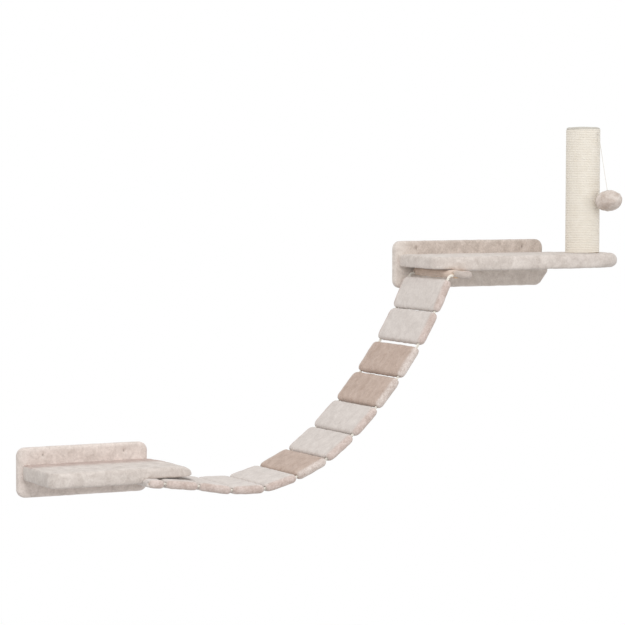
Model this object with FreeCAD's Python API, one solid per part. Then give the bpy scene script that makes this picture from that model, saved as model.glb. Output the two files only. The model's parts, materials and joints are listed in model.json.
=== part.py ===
import FreeCAD, Part
import math
import os

from FreeCAD import Placement, Rotation, Vector

# Cat climbing wall: two plush shelves screwed to the wall, joined by a sagging ladder of
# padded treads on two ropes, with a sisal post and a toy ball on the upper shelf.
# X runs along the wall, Y into the wall, Z up, in millimetres. The origin lies on the wall,
# midway between the two screw holes of the lower wall plate.

# General
overrun = 5            # how far a cut runs past the faces that it opens
fit_gap = 0.1          # between a screw, bolt or wire and its hole
match_limit = 0.01     # when two places count as the same

# Wall plates
plate_height = 164
plate_corner = 27
plate_board = 18
plate_back_plush = 4
plate_front_plush = 6
plate_side_plush = 6
plate_edge = 9
low_plate_length = 456
up_plate_length = 602
hole_inset = 85        # from the plate's ends to its wall screw holes
hole_drop = 26         # from the plate's top edge to its wall screw holes
wall_hole_radius = 2.75
dimple_radius = 6
web_reach = 24         # how far the upper plate flares out below the shelf
web_drop = 3
web_foot = 12
web_notch = 4
web_tip = 9

# Shelves
shelf_depth = 251
shelf_thick = 50
shelf_edge = 20
shelf_board = 18
shelf_pad = 14         # plush and padding round the board's edges
shelf_rear_plush = 4
shelf_notch = 4
shelf_heel = 30        # corner radius of the part that is cut off flat at the plate
shelf_small_corner = 36
low_shelf_corner = 45
up_corner_share = 0.446     # of the shelf's depth
low_shelf_drop = 56    # from the lower plate's top edge down to the shelf's top
up_shelf_drop = 45.6
low_shelf_inset = 15   # from the plate's left end to the shelf's left end
up_shelf_inset = 15
low_shelf_reach = 64   # from the plate's right end to the shelf's right end
up_shelf_reach = 198
low_shelf_end_thick = 36   # of the lower shelf's right end, over the ladder
end_step_gap = 1           # between that step in the shelf and the bottom tread
end_step_curve = 8

# Screws from behind each plate into its shelf
shelf_screw_radius = 2.25
shelf_screw_head = 4.5
shelf_screw_length = 64
shelf_screw_shares = (-0.38, -0.13, 0.13, 0.38)   # of the plate's length

# Ladder treads
tread_length = 114
tread_width = 300
tread_thick = 27
tread_corner = 16
tread_edge = 10
tread_board = 15
tread_side_plush = 7
bottom_tread_length = 57
top_tread_length = 78
wall_gap = 2           # between the wall plates and the treads' back ends
tread_gap = 5          # between two treads low on the ladder
gap_shares = (1.0, 1.2, 1.1, 1.35, 1.6, 2.1, 2.3, 2.7, 2.9, 3.0, 3.0)   # of tread_gap
tread_slopes = (-6.5, -9.8, -0.7, 15.1, 25.2, 37.5, 44.8, 49.6, 53.7, 59.8, 65.0)   # degrees
ladder_inset = 130     # from the lower shelf's right end back to the first rope joint
top_tread_inset = 46.2   # from the upper shelf's left end to the top tread's end

# Ladder ropes
rope_inset = 25        # from the treads' ends to the ropes
rope_radius = 3.5
rope_hole_gap = 0.2
rope_cut_gap = 0.25    # at each end of a rope piece, where the rope bends
rope_open_gap = 0.35    # the same at the bend between the lower and the upper half of the ladder
low_half = 5           # how many swinging treads hang from the lower shelf
rope_end_reach = 38    # of the ropes into the bottom tread
rope_top_reach = 55    # of the ropes into the top tread
mouth_radius = 5
bend_radius = 14       # of the ropes, where they turn in under the upper shelf
bend_lead = 6          # of straight rope between the last swinging tread and the bend
bend_tail = 1          # and between the bend and the top tread
entry_reach = 10       # of the swinging ropes into the top tread
entry_gap = 0.9        # round and beyond their ends there, for the small shift as it sways

# Screws that hold the two end treads under the shelves
ladder_screw_radius = 2.5
ladder_screw_head = 5
ladder_screw_head_high = 3
ladder_screw_bite = 12
ladder_screw_spread = 80    # from the ladder's middle line, along the tread
ladder_screw_step = 18      # from the top tread's middle, along the wall

# Post
post_radius = 60.5
post_height = 442
sisal_thick = 6
tube_wall = 5
post_cap_thick = 8
post_cap_edge = 5
post_cap_inset = 1
post_disc_thick = 20
post_nose_inset = 115   # from the upper shelf's right end to the post's axis
post_wall_step = 158   # from the wall to the post's axis
bolt_radius = 4
bolt_head_radius = 9
bolt_head_high = 5
bolt_bite = 16

# Toy
toy_bearing = -67.5    # degrees, the side of the post where the toy hangs
ball_radius = 50
ball_half_high = 38.5
ball_side_curve = 30   # radius of the ball's rounded waist, seen from the side
ball_gap = 0.5         # between the ball and the sisal at rest
ball_drop = 235        # from the staple down to the ball's middle
staple_drop = 14       # from the post's top down to the staple
staple_stand = 5       # of the staple's crown, out from the sisal
staple_half_span = 4
staple_wire = 0.8
staple_bend = 2
string_radius = 1
string_loop = 3
string_loop_gap = 0.1
string_bite = 12

# Places that follow from the sizes above
plate_front = -(plate_back_plush + plate_board + plate_front_plush)
shelf_front = plate_front - shelf_depth
shelf_tail = shelf_heel + shelf_notch + overrun
low_plate_left = -low_plate_length / 2
low_plate_right = low_plate_length / 2
low_plate_top = hole_drop
up_shelf_corner = up_corner_share * shelf_depth
low_shelf_left = low_plate_left + low_shelf_inset
low_shelf_right = low_plate_right + low_shelf_reach
low_shelf_top = low_plate_top - low_shelf_drop
shelf_under_pad = (shelf_thick - shelf_board) / 2   # below a shelf's board
low_end_pad = low_shelf_end_thick - shelf_board - shelf_under_pad
ladder_y = plate_front - wall_gap - tread_width / 2
rope_offset = tread_width / 2 - rope_inset
entry_radius = rope_radius + entry_gap
entry_depth = entry_reach + entry_gap
last_turn = math.radians(tread_slopes[-1])
bend_leg = bend_radius * math.tan(last_turn / 2)


def along_slope(slope, length):
    """Vector of a length that climbs at a slope in degrees."""
    angle = math.radians(slope)
    return Vector(length * math.cos(angle), 0, length * math.sin(angle))


def rope_joints():
    """Points where the ropes bend between treads, and last the corner under the upper shelf."""
    x = low_shelf_right - ladder_inset
    z = low_shelf_top - low_shelf_end_thick - tread_thick / 2
    points = [Vector(x, ladder_y, z)]
    for slope, share in zip(tread_slopes[:-1], gap_shares[:-1]):
        points.append(points[-1] + along_slope(slope, tread_length + tread_gap * share))
    lead = tread_gap * gap_shares[-1] / 2 + tread_length + bend_lead + bend_leg
    points.append(points[-1] + along_slope(tread_slopes[-1], lead))
    return points


joints = rope_joints()
rope_corner = joints[-1]
top_tread_left = rope_corner.x + bend_leg + bend_tail
up_shelf_left = top_tread_left - top_tread_inset
up_shelf_top = rope_corner.z + tread_thick / 2 + shelf_thick
up_plate_left = up_shelf_left - up_shelf_inset
up_plate_right = up_plate_left + up_plate_length
up_plate_top = up_shelf_top + up_shelf_drop
up_shelf_right = up_plate_right + up_shelf_reach
post_x = up_shelf_right - post_nose_inset
post_y = -post_wall_step
post_top = up_shelf_top + post_height
sisal_top = post_top - post_cap_thick
core_radius = post_radius - sisal_thick


def save(shape, name):
    shape.exportStep(os.path.join("parts", name + ".step"))


def rod(radius, start, along):
    """Round bar of a radius from a start point, along a vector that also gives its length."""
    return Part.makeCylinder(radius, along.Length, start, along)


def group(shapes):
    return Part.makeCompound(shapes)


def same(first, second):
    return abs(first - second) < match_limit


def edges_in_plane(shape, axis, place):
    """Edges that lie in the plane at a place on an axis (0 for X, 1 for Y, 2 for Z)."""
    return [edge for edge in shape.Edges
            if all(same(vertex.Point[axis], place) for vertex in edge.Vertexes)]


def rounded_face(corners):
    """Flat face whose outline turns at each (point, radius) corner by an arc."""
    legs = []
    for index, (here, radius) in enumerate(corners):
        before = corners[index - 1][0]
        after = corners[(index + 1) % len(corners)][0]
        back = (before - here).normalize()
        onward = (after - here).normalize()
        half = back.getAngle(onward) / 2
        reach = radius / math.tan(half)
        middle = here + (back + onward).normalize() * (radius / math.sin(half) - radius)
        legs.append((here + back * reach, middle, here + onward * reach, radius))
    edges = []
    for index, (start, middle, end, radius) in enumerate(legs):
        if radius:
            edges.append(Part.Arc(start, middle, end).toShape())
        following = legs[(index + 1) % len(legs)][0]
        if (following - end).Length > match_limit:
            edges.append(Part.LineSegment(end, following).toShape())
    return Part.Face(Part.Wire(edges))


def slab(corners, bottom, thick, edge):
    """Level slab of a rounded outline in X and Y, with its upper and lower edges rounded."""
    body = rounded_face(corners).extrude(Vector(0, 0, thick))
    if edge:
        rims = edges_in_plane(body, 2, 0) + edges_in_plane(body, 2, thick)
        body = body.makeFillet(edge, rims)
    body.translate(Vector(0, 0, bottom))
    return body


# Wall plates

def plate_corners(left, right, top, inset, shelf_bottom):
    """Outline of a plate in X and Z. With a shelf bottom given, it flares out below that."""
    bottom = top - plate_height
    radius = plate_corner - inset
    corners = [
        (Vector(left + inset, 0, bottom + inset), radius),
        (Vector(left + inset, 0, top - inset), radius),
        (Vector(right - inset, 0, top - inset), radius),
    ]
    if shelf_bottom is None:
        corners.append((Vector(right - inset, 0, bottom + inset), radius))
        return corners
    shoulder = shelf_bottom - web_drop
    tip = right + web_reach - inset
    corners += [
        (Vector(right - inset, 0, shoulder - inset), web_notch),
        (Vector(tip, 0, shoulder - inset), web_tip),
        (Vector(tip, 0, shoulder - inset - 2 * web_tip), web_tip),
        (Vector(right - web_foot - inset, 0, bottom + inset), radius),
    ]
    return corners


def plate_layer(corners, back, thick, edge):
    """Upright layer that runs from its back plane towards the room."""
    body = rounded_face(corners).extrude(Vector(0, -thick, 0))
    if edge:
        body = body.makeFillet(edge, edges_in_plane(body, 1, -thick))
    body.translate(Vector(0, -back, 0))
    return body


def wall_holes(left, right, top):
    """Rods where the wall screws pass, and wider ones where they sink into the plush."""
    holes = []
    dimples = []
    for x in (left + hole_inset, right - hole_inset):
        z = top - hole_drop
        through = Vector(0, plate_front - 2 * overrun, 0)
        holes.append(rod(wall_hole_radius, Vector(x, overrun, z), through))
        outward = Vector(0, -plate_front_plush - overrun, 0)
        dimples.append(rod(dimple_radius, Vector(x, plate_front + plate_front_plush, z), outward))
    return group(holes), group(dimples)


def shelf_screw_set(left, right, shelf_top, clearance):
    """The screws between a plate and its shelf, or with a clearance the room for them."""
    screws = []
    outward = Vector(0, -1, 0)
    sink = shelf_screw_head - shelf_screw_radius
    for share in shelf_screw_shares:
        x = (left + right) / 2 + share * (right - left)
        start = Vector(x, -plate_back_plush, shelf_top - shelf_thick / 2)
        head = Part.makeCone(shelf_screw_head + clearance, shelf_screw_radius + clearance, sink,
                             start, outward)
        shank = rod(shelf_screw_radius + clearance, start,
                    outward * (shelf_screw_length + clearance))
        screws.append(head.fuse(shank).removeSplitter())
    return group(screws)


def make_plate(name, left, right, top, shelf_top, flare):
    """Board, plush cover and shelf screws of one wall plate."""
    shelf_bottom = shelf_top - shelf_thick if flare else None
    thick = -plate_front
    cover = plate_layer(plate_corners(left, right, top, 0, shelf_bottom), 0, thick, plate_edge)
    inner = plate_corners(left, right, top, plate_side_plush, shelf_bottom)
    board = plate_layer(inner, plate_back_plush, plate_board, 0)
    cover = cover.cut(board)
    holes, dimples = wall_holes(left, right, top)
    rooms = shelf_screw_set(left, right, shelf_top, fit_gap)
    save(board.cut(holes).cut(rooms), name + "_plate_board")
    save(cover.cut(holes).cut(dimples).cut(rooms), name + "_plate_cover")
    save(shelf_screw_set(left, right, shelf_top, 0), name + "_shelf_screws")


# Shelves

def make_shelf(name, left, right, plate_left, plate_right, top, corner, cuts):
    """Board and padded cover of one shelf, less the rooms for what is screwed to it."""
    rear = plate_front + shelf_tail
    corners = [
        (Vector(left, rear, 0), shelf_heel),
        (Vector(plate_right, rear, 0), shelf_heel),
        (Vector(plate_right, plate_front, 0), shelf_notch),
        (Vector(right, plate_front, 0), corner),
        (Vector(right, shelf_front, 0), corner),
        (Vector(left, shelf_front, 0), shelf_small_corner),
    ]
    cover = slab(corners, top - shelf_thick, shelf_thick, shelf_edge)
    behind = Part.makeBox(right - left + 2 * overrun, shelf_tail + overrun,
                          shelf_thick + 2 * overrun,
                          Vector(left - overrun, plate_front, top - shelf_thick - overrun))
    cover = cover.cut(behind)
    board_left = left + shelf_pad
    board_right = right - shelf_pad
    board_rear = plate_front - shelf_rear_plush
    board_front = shelf_front + shelf_pad
    inner = [
        (Vector(board_left, board_rear, 0), 0),
        (Vector(board_right, board_rear, 0), corner - shelf_pad),
        (Vector(board_right, board_front, 0), corner - shelf_pad),
        (Vector(board_left, board_front, 0), shelf_small_corner - shelf_pad),
    ]
    board = slab(inner, top - (shelf_thick + shelf_board) / 2, shelf_board, 0)
    cover = cover.cut(board)
    rooms = shelf_screw_set(plate_left, plate_right, top, fit_gap)
    for cut in [rooms] + cuts:
        board = board.cut(cut)
        cover = cover.cut(cut)
    save(board, name + "_shelf_board")
    save(cover, name + "_shelf_cover")


def ladder_end_room():
    """What the lower shelf lacks on its underside, from the bottom tread to its right end."""
    left = joints[0].x - tread_gap * gap_shares[0] / 2 - bottom_tread_length - end_step_gap
    floor = low_shelf_top - shelf_thick - overrun
    roof = low_shelf_top - low_shelf_end_thick
    room = Part.makeBox(low_shelf_right + overrun - left, shelf_depth + 2 * overrun, roof - floor,
                        Vector(left, shelf_front - overrun, floor))
    corner = [edge for edge in edges_in_plane(room, 0, left)
              if all(same(vertex.Z, roof) for vertex in edge.Vertexes)]
    return room.makeFillet(end_step_curve, corner)


# Ladder

def tread_outline(length, inset):
    x = length / 2 - inset
    y = tread_width / 2 - inset
    radius = tread_corner - inset
    return [(Vector(-x, -y, 0), radius), (Vector(x, -y, 0), radius),
            (Vector(x, y, 0), radius), (Vector(-x, y, 0), radius)]


def make_tread(length, start, end, radius):
    """Board and cover of a tread about its middle, bored for the ropes from start to end."""
    cover = slab(tread_outline(length, 0), -tread_thick / 2, tread_thick, tread_edge)
    board = slab(tread_outline(length, tread_side_plush), -tread_board / 2, tread_board, 0)
    cover = cover.cut(board)
    for side in (-1, 1):
        place = Vector(start, side * rope_offset, 0)
        bore = rod(rope_radius + rope_hole_gap, place, Vector(end - start, 0, 0))
        mouth = rod(radius, place, Vector(end - start, 0, 0))
        board = board.cut(bore)
        cover = cover.cut(mouth)
    return board, cover


def ladder_screw_set(x, steps, tread_z, pad, clearance):
    """Screws up through an end tread into the shelf board, or with a clearance their room."""
    screws = []
    up = Vector(0, 0, 1)
    length = (tread_thick + tread_board) / 2 + pad + ladder_screw_bite
    for step in steps:
        for side in (-1, 1):
            place = Vector(x + step, ladder_y + side * ladder_screw_spread,
                           tread_z - tread_board / 2)
            shank = rod(ladder_screw_radius + clearance, place, up * (length + clearance))
            depth = tread_thick if clearance else ladder_screw_head_high
            head = rod(ladder_screw_head + clearance, place, -up * depth)
            screws.append(shank.fuse(head))
    return group(screws)


def place_tread(shape, middle, slope):
    turn = Rotation(Vector(0, 1, 0), -slope)
    shape.Placement = Placement(middle, turn)
    return shape


def rope_piece(start, end, before, slope, after, start_gap=rope_cut_gap, end_gap=rope_cut_gap):
    """Both ropes between two bending points, each end cut along the bend's middle plane."""
    size = 4 * rope_radius
    pieces = []
    for side in (-1, 1):
        shift = Vector(0, side * rope_offset, 0)
        run = (end - start)
        lead = along_slope(slope, rope_radius)
        piece = rod(rope_radius, start + shift - lead, run + lead * 2)
        for point, angle, sign in ((start, (before + slope) / 2, -1),
                                   (end, (slope + after) / 2, 1)):
            block = Part.makeBox(size, 2 * size, 2 * size,
                                 Vector(-end_gap if sign > 0 else start_gap - size, -size, -size))
            block.Placement = Placement(point + shift, Rotation(Vector(0, 1, 0), -angle))
            piece = piece.cut(block)
        pieces.append(piece)
    return group(pieces)


def top_rope_piece(start, before, slope):
    """Both ropes of the last swinging tread: straight, round the bend, and into the top tread."""
    size = 4 * rope_radius
    climb = along_slope(slope, 1)
    bend_start = rope_corner - climb * bend_leg
    bend_end = rope_corner + Vector(bend_leg, 0, 0)
    centre = bend_end - Vector(0, 0, bend_radius)
    pieces = []
    for side in (-1, 1):
        shift = Vector(0, side * rope_offset, 0)
        lead = climb * rope_radius
        piece = rod(rope_radius, start + shift - lead, bend_start - start + lead)
        block = Part.makeBox(size, 2 * size, 2 * size, Vector(rope_cut_gap - size, -size, -size))
        block.Placement = Placement(start + shift, Rotation(Vector(0, 1, 0), -(before + slope) / 2))
        piece = piece.cut(block)
        ring = Part.Wire(Part.makeCircle(rope_radius, bend_start + shift, climb))
        bend = Part.Face(ring).revolve(centre + shift, Vector(0, 1, 0), slope)
        tail = rod(rope_radius, bend_end + shift, Vector(bend_tail + entry_reach, 0, 0))
        piece = piece.fuse([bend, tail]).removeSplitter()
        straight = (bend_start - start).Length - rope_cut_gap + bend_tail + entry_reach
        length = straight + bend_radius * last_turn
        share = piece.Volume / (math.pi * rope_radius ** 2 * length)
        print("top rope: bend radius", bend_radius, "length", round(length, 1),
              "volume over section times length", round(share, 4))
        pieces.append(piece)
    return group(pieces)


def rod_pair(start, along):
    return group([rod(rope_radius, start + Vector(0, side * rope_offset, 0), along)
                  for side in (-1, 1)])


def make_swinging_treads():
    """The treads that hang between the two shelves, each with its piece of both ropes."""
    slopes = (0,) + tread_slopes + (0,)
    for index in range(len(tread_slopes)):
        number = index + 2
        slope = tread_slopes[index]
        half = tread_length / 2
        start = joints[index]
        last = index == len(tread_slopes) - 1
        step = tread_gap * gap_shares[index] / 2 + half
        middle = start + along_slope(slope, step)
        board, cover = make_tread(tread_length, -half - overrun, half + overrun, mouth_radius)
        save(place_tread(board, middle, slope), "tread_%02d_board" % number)
        save(place_tread(cover, middle, slope), "tread_%02d_cover" % number)
        if last:
            ropes = top_rope_piece(start, slopes[index], slope)
        else:
            start_gap = rope_open_gap if index == low_half else rope_cut_gap
            end_gap = rope_open_gap if index == low_half - 1 else rope_cut_gap
            ropes = rope_piece(start, joints[index + 1], slopes[index], slope, slopes[index + 2],
                               start_gap, end_gap)
        save(ropes, "rope_%02d" % number)


def make_bottom_tread():
    """The short tread under the lower shelf, where the ropes start."""
    half = bottom_tread_length / 2
    start = joints[0]
    middle = start - Vector(tread_gap * gap_shares[0] / 2 + half, 0, 0)
    board, cover = make_tread(bottom_tread_length, start.x - middle.x - rope_end_reach,
                              half + overrun, mouth_radius)
    board = place_tread(board, middle, 0)
    cover = place_tread(cover, middle, 0)
    rooms = ladder_screw_set(middle.x, (0,), middle.z, low_end_pad, fit_gap)
    save(board.cut(rooms), "tread_01_board")
    save(cover.cut(rooms), "tread_01_cover")
    tail = start - Vector(rope_end_reach, 0, 0)
    inner = rope_piece(tail, start, 0, 0, tread_slopes[0])
    save(inner, "rope_01")
    save(ladder_screw_set(middle.x, (0,), middle.z, low_end_pad, 0), "low_ladder_screws")
    return rooms


def make_top_tread():
    """The tread under the upper shelf, where the ropes end in wider mouths."""
    half = top_tread_length / 2
    middle = Vector(top_tread_left + half, ladder_y, rope_corner.z)
    board, cover = make_tread(top_tread_length, -half - overrun, rope_top_reach - half, entry_radius)
    board = place_tread(board, middle, 0)
    cover = place_tread(cover, middle, 0)
    entry = Vector(top_tread_left, ladder_y, rope_corner.z)
    for side in (-1, 1):
        place = entry + Vector(0, side * rope_offset, 0)
        board = board.cut(rod(entry_radius, place, Vector(entry_depth, 0, 0)))
    steps = (-ladder_screw_step, ladder_screw_step)
    rooms = ladder_screw_set(middle.x, steps, middle.z, shelf_under_pad, fit_gap)
    save(board.cut(rooms), "tread_13_board")
    save(cover.cut(rooms), "tread_13_cover")
    save(rod_pair(entry + Vector(entry_depth, 0, 0), Vector(rope_top_reach - entry_depth, 0, 0)),
         "rope_13")
    save(ladder_screw_set(middle.x, steps, middle.z, shelf_under_pad, 0), "up_ladder_screws")
    return rooms


# Post

def post_bolt(clearance):
    """Bolt up through the shelf board into the post, or with a clearance the room for it."""
    board_bottom = up_shelf_top - (shelf_thick + shelf_board) / 2
    place = Vector(post_x, post_y, board_bottom)
    up = Vector(0, 0, 1)
    length = (shelf_thick + shelf_board) / 2 + bolt_bite
    shank = rod(bolt_radius + clearance, place, up * (length + clearance))
    depth = shelf_thick if clearance else bolt_head_high
    head = rod(bolt_head_radius + clearance, place, -up * depth)
    return shank.fuse(head)


def make_post(staple_rooms):
    """Tube with its two end discs, sisal sleeve and plush cap."""
    foot = Vector(post_x, post_y, up_shelf_top)
    up = Vector(0, 0, 1)
    high = sisal_top - up_shelf_top
    bore_radius = core_radius - tube_wall
    core = rod(core_radius, foot, up * high).cut(rod(bore_radius, foot, up * high))
    sisal = rod(post_radius, foot, up * high).cut(rod(core_radius, foot, up * high))
    low_disc = rod(bore_radius, foot, up * post_disc_thick).cut(post_bolt(fit_gap))
    high_disc = rod(bore_radius, foot + up * (high - post_disc_thick), up * post_disc_thick)
    cap = rod(post_radius - post_cap_inset, foot + up * high, up * post_cap_thick)
    cap = cap.makeFillet(post_cap_edge, edges_in_plane(cap, 2, post_top))
    save(core.cut(staple_rooms), "post_core")
    save(sisal.cut(staple_rooms), "post_sisal")
    save(group([low_disc, high_disc]), "post_discs")
    save(cap, "post_cap")
    save(post_bolt(0), "post_bolt")


# Toy

bearing = math.radians(toy_bearing)
outward = Vector(math.cos(bearing), math.sin(bearing), 0)
sideways = Vector(-math.sin(bearing), math.cos(bearing), 0)
staple_place = (Vector(post_x, post_y, post_top - staple_drop - post_cap_thick)
                + outward * (post_radius + staple_stand))
ball_out = ball_radius + ball_gap - staple_stand
string_down = Vector(0, 0, -1) * ball_drop + outward * ball_out
string_way = Vector(string_down).normalize()


def staple_rooms():
    """Room for the staple's legs in the sisal and the tube."""
    inward = outward * -(staple_stand + sisal_thick + tube_wall / 2 + fit_gap)
    return group([rod(staple_wire + fit_gap, staple_place + sideways * side, inward)
                  for side in (-staple_half_span, staple_half_span)])


def make_staple():
    """Wire staple that stands out from the post, with its legs driven into it."""
    leg = outward * -(staple_stand + sisal_thick + tube_wall / 2)
    diagonal = staple_bend * (1 - math.sqrt(1 / 2))
    path = []
    for side in (-1, 1):
        corner = staple_place + sideways * side * staple_half_span
        on_leg = corner - outward * staple_bend
        on_crown = corner - sideways * side * staple_bend
        middle = corner - outward * diagonal - sideways * side * diagonal
        points = [corner + leg, on_leg, middle, on_crown]
        path.append(points)
    first, second = path
    wire = Part.Wire([
        Part.LineSegment(first[0], first[1]).toShape(),
        Part.Arc(first[1], first[2], first[3]).toShape(),
        Part.LineSegment(first[3], second[3]).toShape(),
        Part.Arc(second[3], second[2], second[1]).toShape(),
        Part.LineSegment(second[1], second[0]).toShape(),
    ])
    ring = Part.Wire(Part.makeCircle(staple_wire, first[0], outward))
    return wire.makePipeShell([ring], True, False)


def make_ball():
    """Flattened plush ball, turned about the string, with a blind bore where the string ends."""
    middle = staple_place + string_down
    bore_radius = string_radius + fit_gap
    waist = ball_radius - ball_side_curve
    crown = (waist ** 2 + ball_half_high ** 2 - ball_side_curve ** 2) / 2
    crown /= ball_half_high - ball_side_curve
    sink = crown - ball_half_high
    lean = math.atan2(waist, sink)

    def place(out, high):
        return middle + sideways * out - string_way * high

    def on_crown(angle, sign):
        return place(crown * math.sin(angle), sign * (crown * math.cos(angle) - sink))

    rim = math.asin(bore_radius / crown)
    mouth = on_crown(rim, 1)
    floor = ball_half_high - string_bite - fit_gap
    corners = [place(0, -ball_half_high), place(0, floor), place(bore_radius, floor), mouth]
    arcs = [(mouth, on_crown((rim + lean) / 2, 1), on_crown(lean, 1)),
            (on_crown(lean, 1), place(ball_radius, 0), on_crown(lean, -1)),
            (on_crown(lean, -1), on_crown(lean / 2, -1), corners[0])]
    edges = [Part.Arc(*three).toShape() for three in arcs]
    edges += [Part.LineSegment(*pair).toShape() for pair in zip(corners, corners[1:])]
    return Part.Face(Part.Wire(edges)).revolve(middle, string_way, 360)


def make_toy():
    """String with its loop round the staple, and the plush ball on its other end."""
    hang = string_loop - string_radius - staple_wire - string_loop_gap
    loop_middle = staple_place + string_way * hang
    loop = Part.makeTorus(string_loop, string_radius, loop_middle, sideways)
    start = loop_middle + string_way * string_loop
    line = string_way * (string_down.Length - hang - string_loop - ball_half_high + string_bite)
    save(loop.fuse(rod(string_radius, start, line)).removeSplitter(), "toy_string")
    save(make_ball(), "toy_ball")


os.makedirs("parts", exist_ok=True)
make_plate("low", low_plate_left, low_plate_right, low_plate_top, low_shelf_top, False)
make_plate("up", up_plate_left, up_plate_right, up_plate_top, up_shelf_top, True)
make_swinging_treads()
low_rooms = make_bottom_tread()
up_rooms = make_top_tread()
make_shelf("low", low_shelf_left, low_shelf_right, low_plate_left, low_plate_right,
           low_shelf_top, low_shelf_corner, [low_rooms, ladder_end_room()])
make_shelf("up", up_shelf_left, up_shelf_right, up_plate_left, up_plate_right,
           up_shelf_top, up_shelf_corner, [up_rooms, post_bolt(fit_gap)])
make_post(staple_rooms())
save(make_staple(), "toy_staple")
make_toy()
print("plates", round(up_plate_left, 1), round(up_plate_right, 1), round(up_plate_top, 1))
print("upper shelf", round(up_shelf_left, 1), round(up_shelf_right, 1), round(up_shelf_top, 1))
print("post", round(post_x, 1), round(post_y, 1), round(post_top, 1))
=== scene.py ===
import bpy, bmesh, json, math
from mathutils import Matrix, Vector, noise


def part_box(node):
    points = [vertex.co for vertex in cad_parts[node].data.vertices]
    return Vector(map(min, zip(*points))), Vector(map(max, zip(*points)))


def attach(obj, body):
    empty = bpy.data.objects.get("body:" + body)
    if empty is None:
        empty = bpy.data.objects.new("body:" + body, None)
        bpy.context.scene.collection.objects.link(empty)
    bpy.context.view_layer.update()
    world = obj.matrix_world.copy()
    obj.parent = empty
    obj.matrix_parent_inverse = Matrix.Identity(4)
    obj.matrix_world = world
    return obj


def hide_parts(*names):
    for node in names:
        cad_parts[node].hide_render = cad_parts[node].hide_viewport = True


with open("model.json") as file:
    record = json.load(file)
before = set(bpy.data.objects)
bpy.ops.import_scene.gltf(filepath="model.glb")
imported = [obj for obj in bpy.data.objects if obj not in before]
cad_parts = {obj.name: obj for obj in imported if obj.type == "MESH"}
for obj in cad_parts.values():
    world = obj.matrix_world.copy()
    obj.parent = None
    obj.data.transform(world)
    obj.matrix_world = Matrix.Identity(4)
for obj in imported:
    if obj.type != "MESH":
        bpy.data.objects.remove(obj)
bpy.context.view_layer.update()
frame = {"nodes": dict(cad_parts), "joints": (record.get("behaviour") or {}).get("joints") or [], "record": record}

# Cat climbing wall. X runs along the wall, Y into it, Z up, in metres. The origin lies midway
# between the two screw holes of the lower wall plate.

scene = bpy.context.scene
bodyOf = {node: body for body, nodes in frame["record"]["behaviour"]["bodies"].items()
          for node in nodes}
jointPlace = {joint["name"]: Vector(joint["pos_m"]) for joint in frame["joints"]}


# Shader maths

class Wire:
    # one output socket, so that shader maths reads as plain sums
    def __init__(self, nodes, socket):
        self.nodes = nodes
        self.socket = socket

    def math(self, operation, *values):
        return self.nodes.add("ShaderNodeMath", {"operation": operation}, dict(enumerate(values)))

    def __add__(self, other):
        return self.math("ADD", self, other)

    def __sub__(self, other):
        return self.math("SUBTRACT", self, other)

    def __rsub__(self, other):
        return self.math("SUBTRACT", other, self)

    def __mul__(self, other):
        return self.math("MULTIPLY", self, other)

    def __truediv__(self, other):
        return self.math("DIVIDE", self, other)

    def __rtruediv__(self, other):
        return self.math("DIVIDE", other, self)

    __radd__ = __add__
    __rmul__ = __mul__

    def sine(self):
        return self.math("SINE", self)

    def most(self, other):
        return self.math("MAXIMUM", self, other)

    def clamp(self):
        return self.nodes.add("ShaderNodeClamp", {}, {"Value": self, "Min": 0.0, "Max": 1.0})


class Nodes:
    # the nodes of a material or of the world
    def __init__(self, owner):
        owner.use_nodes = True
        self.tree = owner.node_tree

    def feed(self, socket, value):
        if isinstance(value, Wire):
            self.tree.links.new(value.socket, socket)
        else:
            socket.default_value = value

    def add(self, kind, settings, values, output=0):
        node = self.tree.nodes.new(kind)
        for key, value in settings.items():
            setattr(node, key, value)
        for key, value in values.items():
            self.feed(node.inputs[key], value)
        return Wire(self, node.outputs[output])

    def seen(self):
        # 1 for what the camera sees, straight, in metal or through glass
        camera, glossy, glass = (self.add("ShaderNodeLightPath", {}, {}, "Is %s Ray" % kind)
                                 for kind in ("Camera", "Glossy", "Transmission"))
        return camera.most(glossy).most(glass)


class Look(Nodes):
    # one material with its Principled shader
    def __init__(self, name, **constants):
        self.material = bpy.data.materials.new(name)
        super().__init__(self.material)
        self.shader = self.tree.nodes["Principled BSDF"]
        for key, value in constants.items():
            self.shader.inputs[key.replace("_", " ")].default_value = value

    def place(self):
        return self.add("ShaderNodeTexCoord", {}, {}, "Object")

    def stretched(self, place, scale):
        return self.add("ShaderNodeMapping", {}, {"Vector": place, "Scale": scale})

    def cloud(self, place, scale, detail=3.0, roughness=0.5, distortion=0.0):
        return self.add("ShaderNodeTexNoise", {}, {
            "Vector": place, "Scale": scale, "Detail": detail, "Roughness": roughness,
            "Distortion": distortion})

    def attribute(self, name):
        return self.add("ShaderNodeAttribute", {"attribute_name": name}, {}, "Fac")

    def blend(self, share, first, second):
        # inputs 6 and 7 and output 2 are a Mix node's colours
        return self.add("ShaderNodeMix", {"data_type": "RGBA"}, {
            0: share, 6: first, 7: second}, 2)

    def bump(self, height, strength, distance):
        normal = self.add("ShaderNodeBump", {}, {
            "Height": height, "Strength": strength, "Distance": distance})
        self.feed(self.shader.inputs["Normal"], normal)

    def colour(self, value):
        self.feed(self.shader.inputs["Base Color"], value)

    def rough(self, value):
        self.feed(self.shader.inputs["Roughness"], value)


def plain(red, green, blue):
    # a colour as a screen shows it, 0 to 255, in linear light
    return tuple((c / 255 / 12.92 if c < 10.3 else ((c / 255 + 0.055) / 1.055) ** 2.4)
                 for c in (red, green, blue)) + (1.0,)


# Materials

# slit is the dark colour painted as shade into the plates' screw slits and back holes, the figure after it how
# strongly
plushPile = {"patch": 34, "tuft": 170, "pile": 900, "bumpHeight": 0.0012, "bumpStrength": 0.6,
             "specular": 0.12, "sheen": 0.25, "slit": (96, 78, 66), "slitShade": 0.8}


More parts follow.
